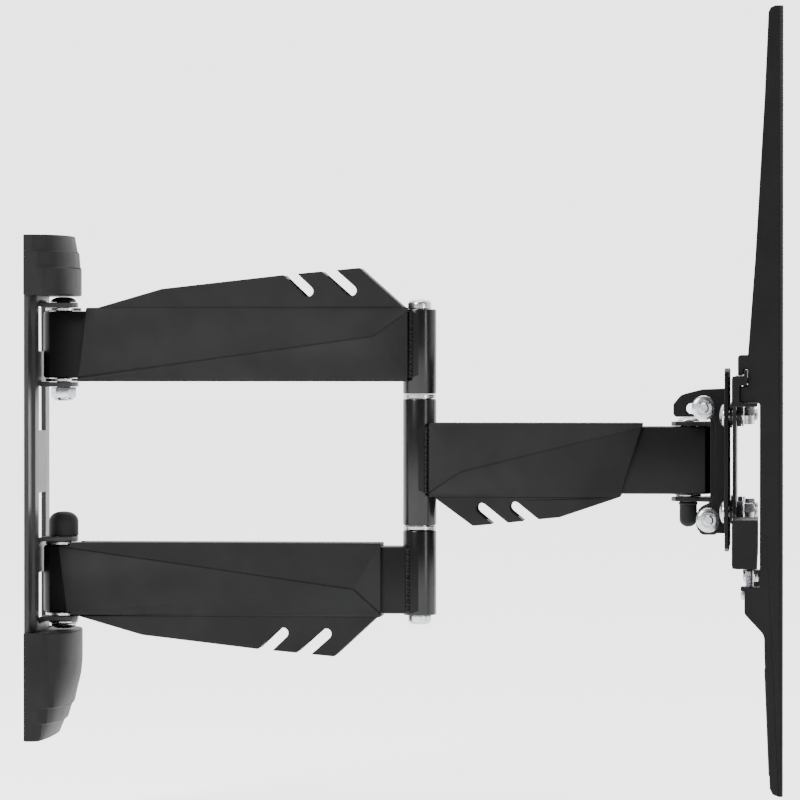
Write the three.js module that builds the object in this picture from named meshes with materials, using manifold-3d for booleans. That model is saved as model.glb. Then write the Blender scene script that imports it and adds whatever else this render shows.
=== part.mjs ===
// Full motion TV wall mount, as an assembly of separate pieces.
// Millimetres. X points away from the wall, Y runs along it, Z is up.
// The origin is the centre of the wall plate's back face.

import * as THREE from 'three';
import { mergeVertices } from 'three/addons/utils/BufferGeometryUtils.js';
import { ConvexGeometry } from 'three/addons/geometries/ConvexGeometry.js';
import Module from 'manifold-3d';

const manifold = await Module();
manifold.setup();

// ---------------------------------------------------------------- driving dimensions

const gap = 0.3;                   // clearance between pieces that touch or slide
const roundSides = 12;             // sides of a bolt, washer or bush
const tubeSides = 20;              // sides of a hinge tube
const overcut = 5;                 // how far a cut runs past the faces that it goes through

// Wall plate
const plateHeight = 295;
const plateWidth = 76;
const plateSheet = 2.8;
const plateRise = 2;               // step of the raised centre
const plateCentreWidth = 50;
const plateToArm = 0.9;            // raised centre to the arm's rounded end
const lugWidth = 24;
const lugReach = 8.4;              // lug tip past the pivot axis
const lugBend = 2;                 // inner bend radius
const windowLength = 31;           // opening that each lug leaves in the plate

// Wall covers
const coverWall = 2;
const coverOverlap = 2.5;          // covers past the plate's ends
const topCoverClearance = 0.4;     // covers to the pivot bolts' heads
const bottomCoverClearance = 0.5;

// Arms
const armLength = 214.2;           // wall pivot to elbow
const frontArmLength = 159.6;      // elbow to swivel
const armSpread = 70;              // each wall arm above or below the hinge column's middle
const columnZ = 15;                // middle of the hinge column
const frontArmLift = 1.5;          // front arm above the column's middle
const tubeHeight = 40;
const tubeWidth = 20;
const tubeWall = 2;
const wallEndBulge = 2;            // rounded tube end past the half width, around the wall pivot
const swivelEndBulge = 4.2;        // the same around the swivel

// Hinge column
const hingeWall = 2;
const hingeTubeOverhang = 1;       // outer hinge tubes past the arm's face
const middleTubeHalf = 37.6;
const pinRadius = 6;
const pinHeadLip = 1;              // pin head past the pin
const pinHeadHeight = 5.6;
const bushWall = 1.4;
const bushFlange = 2.4;
const bushDepth = 14;

// Cable covers
const shellWall = 1.7;
const shellEndSwell = 0.1;         // outer face past its thinnest at the wall or swivel end
const shellRidgeSwell = 2.6;       // the same at the ridge's knee
const shellEdgeSwell = 0.9;        // the same at the hinge end
const finInset = 0.6;              // fin's faces inside the body's thinnest part
const finWall = 2;
const hookWidth = 6.4;             // cable hook slots
const lowerShellShift = 12;        // lower cover sits nearer to the wall
const shellStart = 6.4;            // hinge axis to a cover's edge
const lowerShellStart = 10.4;
const lowerFinShift = 3;           // lower cover's fin sits further from its hinge end
const swivelShellSetback = 26.8;   // front cover's end before the swivel axis
const wallShellSetback = 9.9;      // upper cover's end before the wall pivot

// Pivot hardware
const pivotBoltRadius = 4;         // M8
const pivotWasherInset = 1.2;      // washer's rim inside the arm's rounded end
const pivotWasher = 1.8;
const pivotHeadRadius = 7.7;
const pivotHeadHeight = 3.3;
const pivotNutAcross = 13;
const pivotNutHeight = 8;
const thinWasher = 1.2;
const nutCapWall = 1.1;
const nutCapHeight = 14.6;
const pivotRelieved = 2.8;         // washer edge to the covers around a pivot

// Swivel yoke
const yokeSheet = 2.5;
const yokeHalf = 22;               // half width over its side flanges
const yokeToArm = 1;               // web's rear face to the arm's rounded end
const yokeReach = 19.2;            // web past the ears, up and down
const yokeUpperDepth = 11.2;       // side flanges behind the web: above, between and below the ears
const yokeFlangeDepth = 2;
const yokeLowerDepth = 8.7;
const earRadius = 10;
const swivelBoltRadius = 3;
const swivelHeadRadius = 6.5;
const capNutRadius = 5.7;
const capNutHeight = 15;

// Tilt bracket
const tiltSheet = 2.5;
const tiltPlateSetback = 6.8;      // yoke's web to the plate's rear face
const tiltPlateHalfWidth = 57.5;
const tiltPlateAbove = 34.1;       // plate past the yoke's ears, up and down
const tiltPlateBelow = 27.7;
const tiltPivotInset = 2.9;        // behind the yoke's web
const tiltPivotDrop = 10.4;        // below the yoke's lower ear
const tiltLockRise = 10.85;        // locking bolt above the upper ear
const tiltLean = -2.3;             // locking bolt behind the upright, degrees
const tiltForward = 7;
const tiltBack = 3;
const tiltBoltRadius = 3;          // M6
const tiltNutFlange = 7.2;
const tiltNutHeight = 6;

// Levelling hardware
const levelZ = 15.4;
const levelHalfWidth = 47.5;
const levelHalfHeight = 28;
const levelRange = 3;              // degrees each way
const levelBoltRadius = 3;         // M6
const levelHeadRadius = 6.5;
const levelHeadHeight = 2.7;
const spacerRadius = 7;
const spacerThickness = 1.6;
const levelWasherRadius = 6.3;
const levelWasherThickness = 2.8;
const levelNutAcross = 10;
const levelNutHeight = 6;
const levelNutFlange = 1.2;

// Rail plate
const railSheet = 2;
const railHalf = 116;
const railWebHalf = 62;
const upperRailTop = 66.5;
const upperRailBottom = 49.2;
const lowerRailTop = -15;
const lowerRailBottom = -42.8;
const hookFlange = 8.8;            // upper flange depth, over its lip
const hookLip = 3.5;
const railDepth = 14.4;
const boltRelief = 58;             // inner flanges start this far out
const hookEndWidth = 4.3;          // upper rail's end tab, around the bracket's nose
const hookEndBand = 5.3;

// TV brackets
const bracketSheet = 2;
const bracketSpacing = 200;        // between the two screw slot lines
const bracketFlange = 28;
const bracketTop = 276.2;
const bracketBottom = -171.8;
const bracketFace = 29;            // rail plate's rear face to the screen
const rearFlange = 10;
const screwSlotWidth = 8.4;
const screwSlotLength = 68;
const screwSlotRows = [-175, -75, 75, 175];
const screwSlotLine = 13;          // slot line inside the bracket's web

// Locking screws
const lockScrewRadius = 2.5;
const lockHeadRadius = 5;
const lockHeadHeight = 5;
const lockTabZ = -53.2;
const lockTabDepth = 14;

// ---------------------------------------------------------------- derived places

const plateFront = plateRise + plateSheet;
const wallEndRadius = tubeWidth / 2 + wallEndBulge;
const swivelEndRadius = tubeWidth / 2 + swivelEndBulge;
const wallPivotX = plateFront + plateToArm + wallEndRadius;
const pivotWasherRadius = wallEndRadius - pivotWasherInset;
const upperArmZ = columnZ + armSpread;
const lowerArmZ = columnZ - armSpread;
const frontArmZ = columnZ + frontArmLift;
const elbowX = wallPivotX + armLength;
const swivelX = elbowX + frontArmLength;
const tubeHalf = tubeHeight / 2;
const lugFaceOffset = tubeHalf + pivotWasher + 2 * gap;
const lugOuter = lugFaceOffset + plateSheet + gap;
const pivotHole = pivotBoltRadius + gap;
const pivotReliefRadius = pivotWasherRadius + pivotRelieved;
const bushBore = pinRadius + gap;
const middleBore = bushBore + bushWall + gap;
const hingeRadius = middleBore + hingeWall;
const pinHeadRadius = pinRadius + pinHeadLip;
const shellThinnest = tubeWidth / 2 + gap + shellWall;
const finHalf = shellThinnest - finInset;
const shellEndHalf = shellThinnest + shellEndSwell;
const shellRidgeHalf = shellThinnest + shellRidgeSwell;
const shellEdgeHalf = shellThinnest + shellEdgeSwell;
const sleeveOuter = pivotBoltRadius + gap + bushWall;
const flangeZ = middleTubeHalf + gap;
const outerTubeZ = flangeZ + bushFlange + gap;
const outerTubeEnd = armSpread + tubeHalf + hingeTubeOverhang;
const frontTop = frontArmZ + tubeHalf;
const frontBottom = frontArmZ - tubeHalf;
const topEarZ = frontTop + gap;
const washerZ = frontBottom - gap - thinWasher;
const bottomEarZ = washerZ - gap - yokeSheet;
const headX = swivelX + swivelEndRadius + yokeToArm;
const yokeTopZ = topEarZ + yokeReach;
const yokeBottomZ = bottomEarZ - yokeReach;
const yokeWebFront = headX + yokeSheet;
const tiltPlateRear = headX + tiltPlateSetback;
const tiltPlateTop = topEarZ + tiltPlateAbove;
const tiltPlateBottom = bottomEarZ - tiltPlateBelow;
const tiltPivotX = headX - tiltPivotInset;
const tiltPivotZ = bottomEarZ - tiltPivotDrop;
const tiltLeanCos = Math.cos(THREE.MathUtils.degToRad(tiltLean));
const tiltRadius = (topEarZ + tiltLockRise - tiltPivotZ) / tiltLeanCos;
const tiltPivot = new THREE.Vector2(tiltPivotX, tiltPivotZ);
const tiltLock = aroundTiltPivot(tiltRadius, tiltLean);
const tiltPlateFront = tiltPlateRear + tiltSheet;
const railX = tiltPlateFront + spacerThickness + 2 * gap;
const railFront = railX + railSheet;
const screenX = railX + bracketFace;
const bracketWebY = bracketSpacing / 2 + screwSlotLine;
const sideInner = yokeHalf + 2 * gap;
const sideOuter = sideInner + tiltSheet;

// ---------------------------------------------------------------- materials

function material(colour, roughness, metalness) {
  return new THREE.MeshStandardMaterial({ color: colour, roughness, metalness });
}

const finishes = {
  steel: () => material(0x1c1d20, 0.45, 0.6),
  plastic: () => material(0x2b2b2d, 0.55, 0),
  zinc: () => material(0xb4b6b8, 0.3, 1),
  nylon: () => material(0x141414, 0.5, 0),
};

// ---------------------------------------------------------------- geometry helpers

function aroundTiltPivot(radius, degrees) {
  const angle = THREE.MathUtils.degToRad(degrees);
  return new THREE.Vector2(
    tiltPivotX + radius * Math.sin(angle),
    tiltPivotZ + radius * Math.cos(angle),
  );
}

// Corners are [x, y] or [x, y, radius]; a radius turns the corner into an arc.
function outline(corners, steps = 2) {
  const points = [];
  corners.forEach(([x, y, radius = 0], index) => {
    const corner = new THREE.Vector2(x, y);
    if (radius === 0) {
      points.push(corner);
      return;
    }
    const before = corners[(index + corners.length - 1) % corners.length];
    const after = corners[(index + 1) % corners.length];
    const toBefore = new THREE.Vector2(before[0] - x, before[1] - y).normalize();
    const toAfter = new THREE.Vector2(after[0] - x, after[1] - y).normalize();
    const half = Math.acos(toBefore.dot(toAfter)) / 2;
    const middle = toBefore.clone().add(toAfter).normalize();
    const centre = corner.clone().addScaledVector(middle, radius / Math.sin(half));
    const start = corner.clone().addScaledVector(toBefore, radius / Math.tan(half)).sub(centre);
    const end = corner.clone().addScaledVector(toAfter, radius / Math.tan(half)).sub(centre);
    const turn = Math.atan2(start.cross(end), start.dot(end));
    for (let step = 0; step <= steps; step += 1) {
      const arm = start.clone().rotateAround(new THREE.Vector2(), (turn * step) / steps);
      points.push(arm.add(centre));
    }
  });
  return points;
}

function arc(centreX, centreY, radius, fromDegrees, toDegrees, steps) {
  return Array.from({ length: steps + 1 }, (_, step) => {
    const angle = THREE.MathUtils.degToRad(
      THREE.MathUtils.lerp(fromDegrees, toDegrees, step / steps),
    );
    return [centreX + radius * Math.cos(angle), centreY + radius * Math.sin(angle)];
  });
}

function extrude(corners, depth) {
  const shape = new THREE.Shape(outline(corners));
  return new THREE.ExtrudeGeometry(shape, { depth, bevelEnabled: false });
}

// Outline in X and Y, from z0 up to z1.
function planExtrude(corners, z0, z1) {
  return extrude(corners, z1 - z0).translate(0, 0, z0);
}

// Outline in X and Z, from y0 to y1.
function sideExtrude(corners, y0, y1) {
  return extrude(corners, y1 - y0).rotateX(Math.PI / 2).translate(0, y1, 0);
}

// Outline in Y and Z, from x0 to x1.
function frontExtrude(corners, x0, x1) {
  const turn = new THREE.Matrix4().makeBasis(
    new THREE.Vector3(0, 1, 0),
    new THREE.Vector3(0, 0, 1),
    new THREE.Vector3(1, 0, 0),
  );
  return extrude(corners, x1 - x0).applyMatrix4(turn).translate(x0, 0, 0);
}

function box(x0, x1, y0, y1, z0, z1) {
  const block = new THREE.BoxGeometry(x1 - x0, y1 - y0, z1 - z0);
  return block.translate((x0 + x1) / 2, (y0 + y1) / 2, (z0 + z1) / 2);
}

// A turned piece on the Z axis; the profile is a list of [radius, z].
function turned(profile, sides = roundSides) {
  const points = profile.map(([radius, z]) => new THREE.Vector2(radius, z));
  return new THREE.LatheGeometry(points, sides).rotateX(Math.PI / 2);
}

function ring(outer, inner, z0, z1, sides = roundSides) {
  return turned([[inner, z0], [outer, z0], [outer, z1], [inner, z1], [inner, z0]], sides);
}

function rod(radius, z0, z1, sides = roundSides) {
  return turned([[0, z0], [radius, z0], [radius, z1], [0, z1]], sides);
}

function alongX(geometry) {
  return geometry.rotateY(Math.PI / 2);
}

function alongY(geometry) {
  return geometry.rotateX(-Math.PI / 2);
}

function hexagon(across) {
  const radius = across / Math.sqrt(3);
  return arc(0, 0, radius, 0, 300, 5);
}

// Faces point out and shared corners are merged.
function closed(geometry) {
  const plain = geometry.clone();
  plain.deleteAttribute('normal');
  plain.deleteAttribute('uv');
  const merged = mergeVertices(plain, 1e-4);
  const corners = merged.getAttribute('position');
  const index = merged.getIndex().array;
  const faces = [];
  let volume = 0;
  const [a, b, c] = [new THREE.Vector3(), new THREE.Vector3(), new THREE.Vector3()];
  for (let face = 0; face < index.length; face += 3) {
    const [i, j, k] = [index[face], index[face + 1], index[face + 2]];
    if (i !== j && j !== k && k !== i) {
      faces.push([i, j, k]);
      a.fromBufferAttribute(corners, i);
      b.fromBufferAttribute(corners, j);
      c.fromBufferAttribute(corners, k);
      volume += a.dot(b.cross(c));
    }
  }
  const outward = volume > 0 ? faces : faces.map(([i, j, k]) => [i, k, j]);
  merged.setIndex(outward.flat());
  return merged;
}

function solid(geometry) {
  const shell = closed(geometry);
  return new manifold.Manifold(new manifold.Mesh({
    numProp: 3,
    vertProperties: new Float32Array(shell.getAttribute('position').array),
    triVerts: new Uint32Array(shell.getIndex().array),
  }));
}

function join(first, ...others) {
  return others.reduce((whole, piece) => whole.add(solid(piece)), solid(first));
}

function cut(body, ...tools) {
  return tools.reduce((whole, tool) => whole.subtract(solid(tool)), body);
}

function geometryOf(body) {
  const mesh = body.getMesh();
  const geometry = new THREE.BufferGeometry();
  geometry.setAttribute('position', new THREE.BufferAttribute(mesh.vertProperties, 3));
  geometry.setIndex(new THREE.BufferAttribute(mesh.triVerts, 1));
  return geometry;
}

const mount = new THREE.Group();

function place(name, finish, shape) {
  const geometry = shape.isBufferGeometry ? closed(shape) : geometryOf(shape);
  const mesh = new THREE.Mesh(geometry, finishes[finish]());
  mesh.name = name;
  mount.add(mesh);
  return mesh;
}

// ---------------------------------------------------------------- wall plate and its covers

// A lug lanced from the plate. Its load face is at z; side is +1 with the window below it.
function lug(z, side) {
  const tip = wallPivotX + lugReach;
  const flatStart = plateFront + lugBend;
  const plan = [
    [flatStart, -lugWidth / 2],
    [tip, -lugWidth / 2, lugReach],
    [tip, lugWidth / 2, lugReach],
    [flatStart, lugWidth / 2],
  ];
  const bendZ = z + side * lugBend;
  const turnFrom = 180;
  const turnTo = side > 0 ? 270 : 90;
  const bend = [
    ...arc(flatStart, bendZ, lugBend + plateSheet, turnFrom, turnTo, 4),
    ...arc(flatStart, bendZ, lugBend, turnTo, turnFrom, 4),
  ];
  const backZ = z - side * plateSheet;
  return {
    flat: planExtrude(plan, Math.min(z, backZ), Math.max(z, backZ)),
    bend: sideExtrude(bend, -lugWidth / 2, lugWidth / 2),
    window: box(
      -overcut, plateFront + overcut,
      -lugWidth / 2, lugWidth / 2,
      Math.min(bendZ, bendZ - side * windowLength),
      Math.max(bendZ, bendZ - side * windowLength),
    ),
    hole: rod(pivotHole, Math.min(z, backZ) - 1, Math.max(z, backZ) + 1)
      .translate(wallPivotX, 0, 0),
  };
}

function wallPlate() {
  const half = plateWidth / 2;
  const centre = plateCentreWidth / 2;
  const inset = plateSheet * Math.tan(Math.PI / 8);
  const section = [
    [0, -half], [plateSheet, -half],
    [plateSheet, -centre - plateRise], [plateFront, -centre],
    [plateFront, centre], [plateSheet, centre + plateRise],
    [plateSheet, half], [0, half],
    [0, centre + plateRise - inset], [plateRise, centre - inset],
    [plateRise, inset - centre], [0, inset - centre - plateRise],
  ];
  const lugs = [
    lug(upperArmZ + lugFaceOffset + plateSheet, 1),
    lug(upperArmZ - lugFaceOffset, 1),
    lug(lowerArmZ + lugFaceOffset, -1),
    lug(lowerArmZ - lugFaceOffset - plateSheet, -1),
  ];
  const sheet = solid(planExtrude(section, -plateHeight / 2, plateHeight / 2));
  const pierced = cut(sheet, ...lugs.map((each) => each.window));
  const formed = lugs.reduce((body, each) => body.add(join(each.flat, each.bend)), pierced);
  return cut(formed, ...lugs.map((each) => each.hole));
}

// Plan outline of a wall cover: flat back and sides, small bevels, one big curved front.
function coverOutline({ side, front }, half) {
  const bevel = 3.6;
  const shoulder = 2.4;
  const curve = Array.from({ length: 13 }, (_, step) => {
    const angle = THREE.MathUtils.degToRad(-90 + step * 15);
    return [
      side + bevel + (front - side - bevel) * Math.cos(angle),
      (half - shoulder) * Math.sin(angle),
    ];
  });
  return [[0, -half], [side, -half], ...curve, [side, half], [0, half]];
}

// A solid whose cross-section changes from level to level; sections are convex.
function loft(rings) {
  const count = rings[0].length;
  const corners = rings.flat(2);
  const index = [];
  for (let level = 0; level + 1 < rings.length; level += 1) {
    for (let point = 0; point < count; point += 1) {
      const next = (point + 1) % count;
      const [a, b] = [level * count + point, level * count + next];
      index.push(a, b, b + count, a, b + count, a + count);
    }
  }
  const top = (rings.length - 1) * count;
  for (let point = 1; point + 1 < count; point += 1) {
    index.push(0, point + 1, point, top, top + point, top + point + 1);
  }
  const geometry = new THREE.BufferGeometry();
  geometry.setAttribute('position', new THREE.Float32BufferAttribute(corners, 3));
  geometry.setIndex(index);
  return geometry;
}

function coverTier(levels, half) {
  return loft(levels.map((level) => coverOutline(level, half).map(([x, y]) => [x, y, level.z])));
}

function wallCover(tiers, openingZ) {
  const half = plateWidth / 2 + gap + coverWall;
  const inner = tiers.map((levels, tier) => {
    const thinned = levels.map((level) => ({ ...level, front: level.front - coverWall }));
    const [low, high] = [thinned[0], thinned[thinned.length - 1]];
    const bottomWall = tier === 0 ? coverWall : 0;
    const lowered = { ...low, z: low.z + Math.sign(high.z - low.z) * bottomWall };
    const raised = { ...high, z: high.z - Math.sign(high.z - low.z) * coverWall };
    return [lowered, ...thinned.slice(1, -1), raised];
  });
  const outside = join(...tiers.map((levels) => coverTier(levels, half)));
  const hollows = inner.flatMap((levels, tier) => {
    const hollow = coverTier(levels, half - coverWall).translate(-0.001, 0, 0);
    if (tier === 0) {
      return [hollow];
    }
    const below = inner[tier - 1];
    const narrow = { side: levels[0].side, front: Math.min(levels[0].front, below[below.length - 1].front) };
    const passage = [{ ...narrow, z: below[below.length - 1].z }, { ...narrow, z: levels[0].z }];
    return [hollow, coverTier(passage, half - coverWall)];
  });
  const slot = box(
    -overcut, plateFront + gap,
    -plateWidth / 2 - gap, plateWidth / 2 + gap,
    openingZ - coverWall - 1, openingZ + coverWall + 1,
  );
  return cut(outside, ...hollows, slot);
}

const plateEnd = plateHeight / 2;
const topEdge = plateEnd + coverOverlap;
const bottomEdge = -topEdge;
const topOpening = upperArmZ + lugOuter + pivotHeadHeight + topCoverClearance;
const bottomOpening = lowerArmZ - lugOuter - thinWasher - gap - pivotHeadHeight
  - bottomCoverClearance;

const topTiers = [
  [{ z: topOpening, side: 11.7, front: 27.3 }, { z: topEdge - 19.2, side: 11.7, front: 27.3 }],
  [{ z: topEdge - 19.2, side: 8.7, front: 27 }, { z: topEdge - 9.8, side: 8.7, front: 26.2 }],
  [{ z: topEdge - 9.8, side: 5.7, front: 25.4 }, { z: topEdge, side: 5.7, front: 23.6 }],
];

const bottomTiers = [
  [
    { z: bottomOpening, side: 12, front: 27.8 },
    { z: bottomEdge + 46, side: 12, front: 27.8 },
    { z: bottomEdge + 37, side: 12, front: 26.8 },
    { z: bottomEdge + 27, side: 12, front: 24 },
    { z: bottomEdge + 19.6, side: 12, front: 22 },
  ],
  [{ z: bottomEdge + 19.6, side: 8, front: 21.4 }, { z: bottomEdge + 10.2, side: 8, front: 18 }],
  [{ z: bottomEdge + 10.2, side: 5, front: 17 }, { z: bottomEdge, side: 5, front: 11 }],
];

place('wall_plate', 'steel', wallPlate());
place('top_cover', 'plastic', wallCover(topTiers, topOpening));
place('bottom_cover', 'plastic', wallCover(bottomTiers, bottomOpening));

// ---------------------------------------------------------------- wall pivots

// A dome headed bolt on the Z axis with the head's seat at z = 0 and its shank going down.
function domeBolt(radius, headRadius, headHeight, length) {
  return turned([
    [0, -length], [radius, -length], [radius, 0], [headRadius, 0],
    [headRadius * 0.96, headHeight * 0.4], [headRadius * 0.75, headHeight * 0.8], [0, headHeight],
  ]);
}

// A hexagon nut with its seat at z = 0, and a round flange below it if one is given.
function nut(across, height, bore, flangeRadius = 0, flangeHeight = 0) {
  const body = planExtrude(hexagon(across), 0, height);
  const whole = flangeRadius ? join(body, rod(flangeRadius, 0, flangeHeight)) : solid(body);
  return cut(whole, rod(bore, -overcut, height + overcut));
}

function placeAt(name, finish, shape, x, y, z) {
  const mesh = place(name, finish, shape);
  mesh.position.set(x, y, z);
  return mesh;
}

const pivotWasherRing = () => ring(pivotWasherRadius, pivotHole, 0, pivotWasher);
const pivotSleeve = () => ring(sleeveOuter, pivotHole, -tubeHalf - gap / 2, tubeHalf + gap / 2);
const boltReach = 2 * (lugFaceOffset + plateSheet + gap) + gap + pivotNutHeight + 1;

placeAt('upper_pivot_bolt', 'nylon',
  domeBolt(pivotBoltRadius, pivotHeadRadius, pivotHeadHeight, boltReach),
  wallPivotX, 0, upperArmZ + lugOuter);
placeAt('upper_pivot_washer_top', 'zinc', pivotWasherRing(),
  wallPivotX, 0, upperArmZ + tubeHalf + gap);
placeAt('upper_pivot_washer_bottom', 'zinc', pivotWasherRing(),
  wallPivotX, 0, upperArmZ - tubeHalf - gap - pivotWasher);
placeAt('upper_pivot_nut', 'zinc', nut(pivotNutAcross, pivotNutHeight, pivotHole),
  wallPivotX, 0, upperArmZ - lugOuter - pivotNutHeight);
placeAt('upper_pivot_bush', 'nylon', pivotSleeve(), wallPivotX, 0, upperArmZ);

const lowerBolt = placeAt('lower_pivot_bolt', 'zinc',
  domeBolt(pivotBoltRadius, pivotHeadRadius, pivotHeadHeight, boltReach),
  wallPivotX, 0, lowerArmZ - lugOuter - thinWasher - gap);
lowerBolt.rotation.x = Math.PI;
placeAt('lower_pivot_head_washer', 'zinc', ring(pivotHeadRadius + 1, pivotHole, 0, thinWasher),
  wallPivotX, 0, lowerArmZ - lugOuter - thinWasher);
placeAt('lower_pivot_washer_bottom', 'zinc', pivotWasherRing(),
  wallPivotX, 0, lowerArmZ - tubeHalf - gap - pivotWasher);
placeAt('lower_pivot_washer_top', 'zinc', pivotWasherRing(),
  wallPivotX, 0, lowerArmZ + tubeHalf + gap);
placeAt('lower_pivot_nut', 'zinc', nut(pivotNutAcross, pivotNutHeight, pivotHole),
  wallPivotX, 0, lowerArmZ + lugOuter);
placeAt('lower_pivot_bush', 'nylon', pivotSleeve(), wallPivotX, 0, lowerArmZ);

function nutCap() {
  const inner = pivotNutAcross / Math.sqrt(3) + gap;
  const outer = inner + nutCapWall;
  const ceiling = pivotNutHeight + 1 + 2 * gap;
  const top = nutCapHeight;
  return turned([
    [0, ceiling], [inner, ceiling], [inner, 0], [outer, 0], [outer, top - 3],
    [outer * 0.86, top - 1], [outer * 0.5, top], [0, top],
  ]);
}

placeAt('lower_pivot_nut_cap', 'plastic', nutCap(), wallPivotX, 0, lowerArmZ + lugOuter);

// ---------------------------------------------------------------- arm tubes and hinge column

// Plan of a tube with a rounded end about endX; direction is the way from the hinge to that end.
function tubePlan(hingeX, endX, endRadius, half, hingeEnd) {
  const direction = Math.sign(endX - hingeX);
  const spread = THREE.MathUtils.radToDeg(Math.asin(half / endRadius));
  const round = arc(0, 0, endRadius, -spread, spread, 6)
    .map(([x, y]) => [endX + direction * x, y]);
  return [[hingeX + direction * hingeEnd, -half], ...round, [hingeX + direction * hingeEnd, half]];
}

function armTube(endX, endRadius, z, hingeLow, hingeHigh, hingeBore, endBore) {
  const half = tubeWidth / 2;
  const outside = join(
    planExtrude(tubePlan(elbowX, endX, endRadius, half, 0), z - tubeHalf, z + tubeHalf),
    rod(hingeRadius, hingeLow, hingeHigh, tubeSides).translate(elbowX, 0, 0),
  );
  return cut(
    outside,
    planExtrude(
      tubePlan(elbowX, endX, endRadius - tubeWall, half - tubeWall, hingeRadius - gap),
      z - tubeHalf + tubeWall, z + tubeHalf - tubeWall,
    ),
    rod(hingeBore, hingeLow - 1, hingeHigh + 1, tubeSides).translate(elbowX, 0, 0),
    rod(endBore, z - tubeHeight, z + tubeHeight).translate(endX, 0, 0),
  );
}

place('upper_arm', 'steel', armTube(
  wallPivotX, wallEndRadius, upperArmZ,
  columnZ + outerTubeZ, columnZ + outerTubeEnd, bushBore, sleeveOuter + gap,
));
place('lower_arm', 'steel', armTube(
  wallPivotX, wallEndRadius, lowerArmZ,
  columnZ - outerTubeEnd, columnZ - outerTubeZ, bushBore, sleeveOuter + gap,
));
const swivelBushOuter = swivelBoltRadius + gap + bushWall;
place('front_arm', 'steel', armTube(
  swivelX, swivelEndRadius, frontArmZ,
  columnZ - middleTubeHalf, columnZ + middleTubeHalf, middleBore, swivelBushOuter + gap,
));

const pinReach = outerTubeEnd + gap;
placeAt('hinge_pin', 'zinc', turned([
  [0, -2 * pinReach - 3], [pinRadius, -2 * pinReach - 3], [pinRadius, 0], [pinHeadRadius, 0],
  [pinHeadRadius, pinHeadHeight - 0.8], [pinHeadRadius - 0.8, pinHeadHeight], [0, pinHeadHeight],
]), elbowX, 0, columnZ + pinReach);
placeAt('hinge_pin_cap', 'zinc', turned([
  [0, 3 + gap], [bushBore, 3 + gap], [bushBore, 0], [pinHeadRadius, 0],
  [pinHeadRadius, pinHeadHeight - 0.8], [pinHeadRadius - 0.8, pinHeadHeight], [0, pinHeadHeight],
]), elbowX, 0, columnZ - pinReach).rotation.x = Math.PI;

const elbowBush = () => turned([
  [bushBore, -bushDepth], [bushBore + bushWall, -bushDepth], [bushBore + bushWall, 0],
  [hingeRadius - 0.2, 0], [hingeRadius - 0.2, bushFlange], [bushBore, bushFlange],
  [bushBore, -bushDepth],
]);
placeAt('elbow_bush_upper', 'zinc', elbowBush(), elbowX, 0, columnZ + flangeZ);
placeAt('elbow_bush_lower', 'zinc', elbowBush(), elbowX, 0, columnZ - flangeZ)
  .rotation.x = Math.PI;
placeAt('swivel_bush', 'nylon',
  ring(swivelBushOuter, swivelBoltRadius + gap, -tubeHalf - gap / 2, tubeHalf + gap / 2),
  swivelX, 0, frontArmZ);

// ---------------------------------------------------------------- cable covers

// A cover in its own frame: u runs from the hinge along the arm, v is up to the fin's side.
// The body wraps the tube, a ridge runs over both faces, and the fin carries two cable hooks.
// The fin's and the hooks' heights are above the body's top; a hook is its mouth and its inner end.
function cableCover({ start, end, slant, fin, hooks, knee }) {
  const top = tubeHalf + gap + shellWall;
  const side = (half, u, v) => [new THREE.Vector3(u, -half, v), new THREE.Vector3(u, half, v)];
  const body = new ConvexGeometry([
    ...side(shellEndHalf, start, top), ...side(shellEndHalf, start, -top),
    ...side(shellEndHalf, end - slant, top), ...side(shellEndHalf, end, -top),
    ...side(shellEdgeHalf, start, top - 2.5),
    ...side(shellRidgeHalf, ...knee),
    ...side(shellEndHalf + 0.2, end - 0.5, 2.5 - top),
  ]);
  const edge = fin.map(([u, rise]) => [u, top + rise]);
  const root = [[start, tubeHalf], ...edge, [end - slant, tubeHalf]];
  const finEnd = Math.max(...edge.map(([u]) => u));
  const cavity = [
    [start + 2 * finWall, 0],
    ...edge.map(([u, v]) => [
      THREE.MathUtils.clamp(u, start + 2 * finWall, finEnd - finWall), v - 1.4 * finWall,
    ]),
    [finEnd - finWall, 0],
  ];
  const slots = hooks.map(([mouth, inner]) => {
    const along = new THREE.Vector2(mouth[0] - inner[0], mouth[1] - inner[1]);
    const length = along.length() + overcut;
    const half = hookWidth / 2;
    const slot = [
      ...arc(0, 0, half, 90, 270, 6), [length, -half], [length, half],
    ];
    return sideExtrude(slot, -2 * finHalf, 2 * finHalf)
      .rotateY(-along.angle()).translate(inner[0], 0, top + inner[1]);
  });
  return cut(
    join(body, sideExtrude(root, -finHalf, finHalf)),
    box(start - overcut, end + overcut, -tubeWidth / 2 - gap, tubeWidth / 2 + gap,
      -tubeHalf - gap, tubeHalf + gap),
    sideExtrude(cavity, finWall - finHalf, finHalf - finWall),
    ...slots,
  );
}

// The fin climbs from the far end, holds two hooks near the hinge, and drops at the hinge end.
function wallShell(start, finShift) {
  const end = armLength - wallShellSetback;
  const moved = (points) => points.map(([u, v]) => [u + finShift, v]);
  return cableCover({
    start,
    end,
    slant: 5.6,
    knee: [26.4, 5],
    fin: [...moved([[35, 23.5], [57.7, 21.4], [81.7, 19.2]]), [end - 51, 11.2]],
    hooks: [
      moved([[53.2, 21.8], [39.9, 10]]),
      moved([[76.2, 19.6], [65.7, 9.6]]),
    ],
  });
}

function frontShell() {
  const end = frontArmLength - swivelShellSetback;
  return cableCover({
    start: shellStart,
    end,
    slant: 13.2,
    knee: [25.2, 7],
    fin: [[32.4, 17.1], [55, 15], [72.5, 13], [end - 49, 11.9], [end - 15, 0.4]],
    hooks: [
      [[48.3, 15.3], [37.6, 6.6]],
      [[66.6, 13.3], [57.4, 5.8]],
    ],
  });
}

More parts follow.
